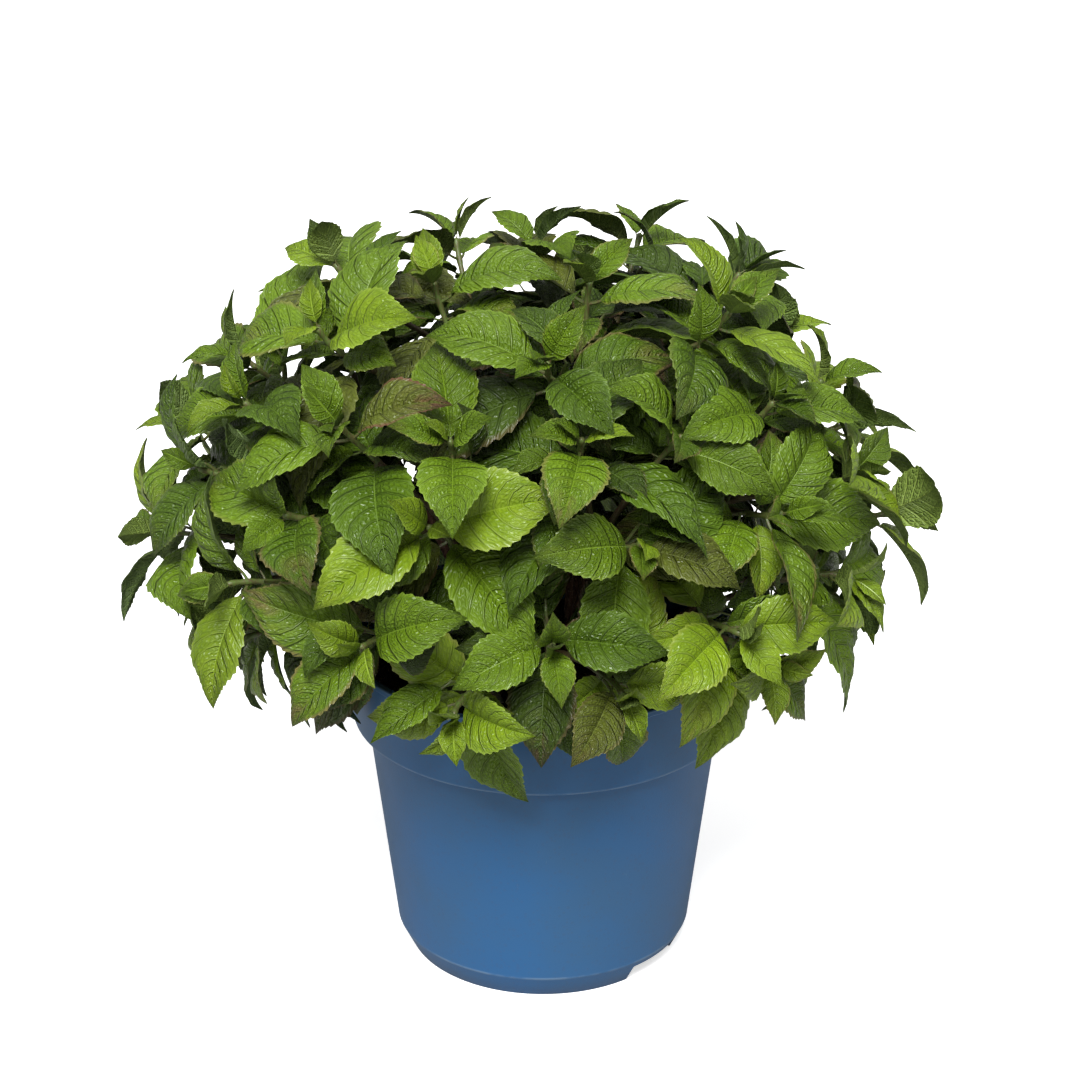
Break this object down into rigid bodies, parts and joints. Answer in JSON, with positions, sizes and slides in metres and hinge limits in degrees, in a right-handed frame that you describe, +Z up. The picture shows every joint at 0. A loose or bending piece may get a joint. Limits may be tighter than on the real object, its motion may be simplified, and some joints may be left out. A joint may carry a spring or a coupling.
{
  "type": "hydrangea shrub in a pot",
  "caption": "Leafy rounded garden shrub in a tapered plastic nursery pot: woody stems rise from the compost and fork into masses of opposite, toothed leaves that hang over the rim.",
  "frame": {"origin": "centre of the pot's flat underside, on the surface that the pot stands on", "axes": "+Z up along the pot's axis, -Y towards the front of the plant, +X to its right seen from the front"},
  "size_m": [0.4645, 0.3927, 0.4523],
  "materials": {
    "pot_plastic": "matt blue moulded plastic with a fine vertical drag and light scuffs",
    "compost": "moist dark brown crumbly potting compost",
    "bark": "thin red-brown bark on young woody stems",
    "leaf": "semi-matt green leaf, quilted between its veins, with paler veins and toothed edges"
  },
  "bodies": {
    "root": {"pot": "pot_plastic", "compost": "compost", "stem_01": "bark", "stem_02": "bark", "stem_03": "bark", "stem_04": "bark", "stem_05": "bark", "stem_06": "bark", "stem_07": "bark", "stem_08": "bark", "stem_09": "bark", "stem_10": "bark", "stem_11": "bark", "stem_12": "bark", "stem_13": "bark", "stem_14": "bark", "stem_15": "bark", "stem_16": "bark", "stem_17": "bark", "stem_18": "bark", "stem_19": "bark", "stem_20": "bark", "foliage_01": "leaf", "foliage_02": "leaf", "foliage_03": "leaf", "foliage_04": "leaf", "foliage_05": "leaf", "foliage_06": "leaf", "foliage_07": "leaf", "foliage_08": "leaf", "foliage_09": "leaf", "foliage_10": "leaf", "foliage_11": "leaf", "foliage_12": "leaf", "foliage_13": "leaf", "foliage_14": "leaf", "foliage_15": "leaf", "foliage_16": "leaf", "foliage_17": "leaf", "foliage_18": "leaf", "foliage_19": "leaf", "foliage_20": "leaf"}
  },
  "joints": []
}
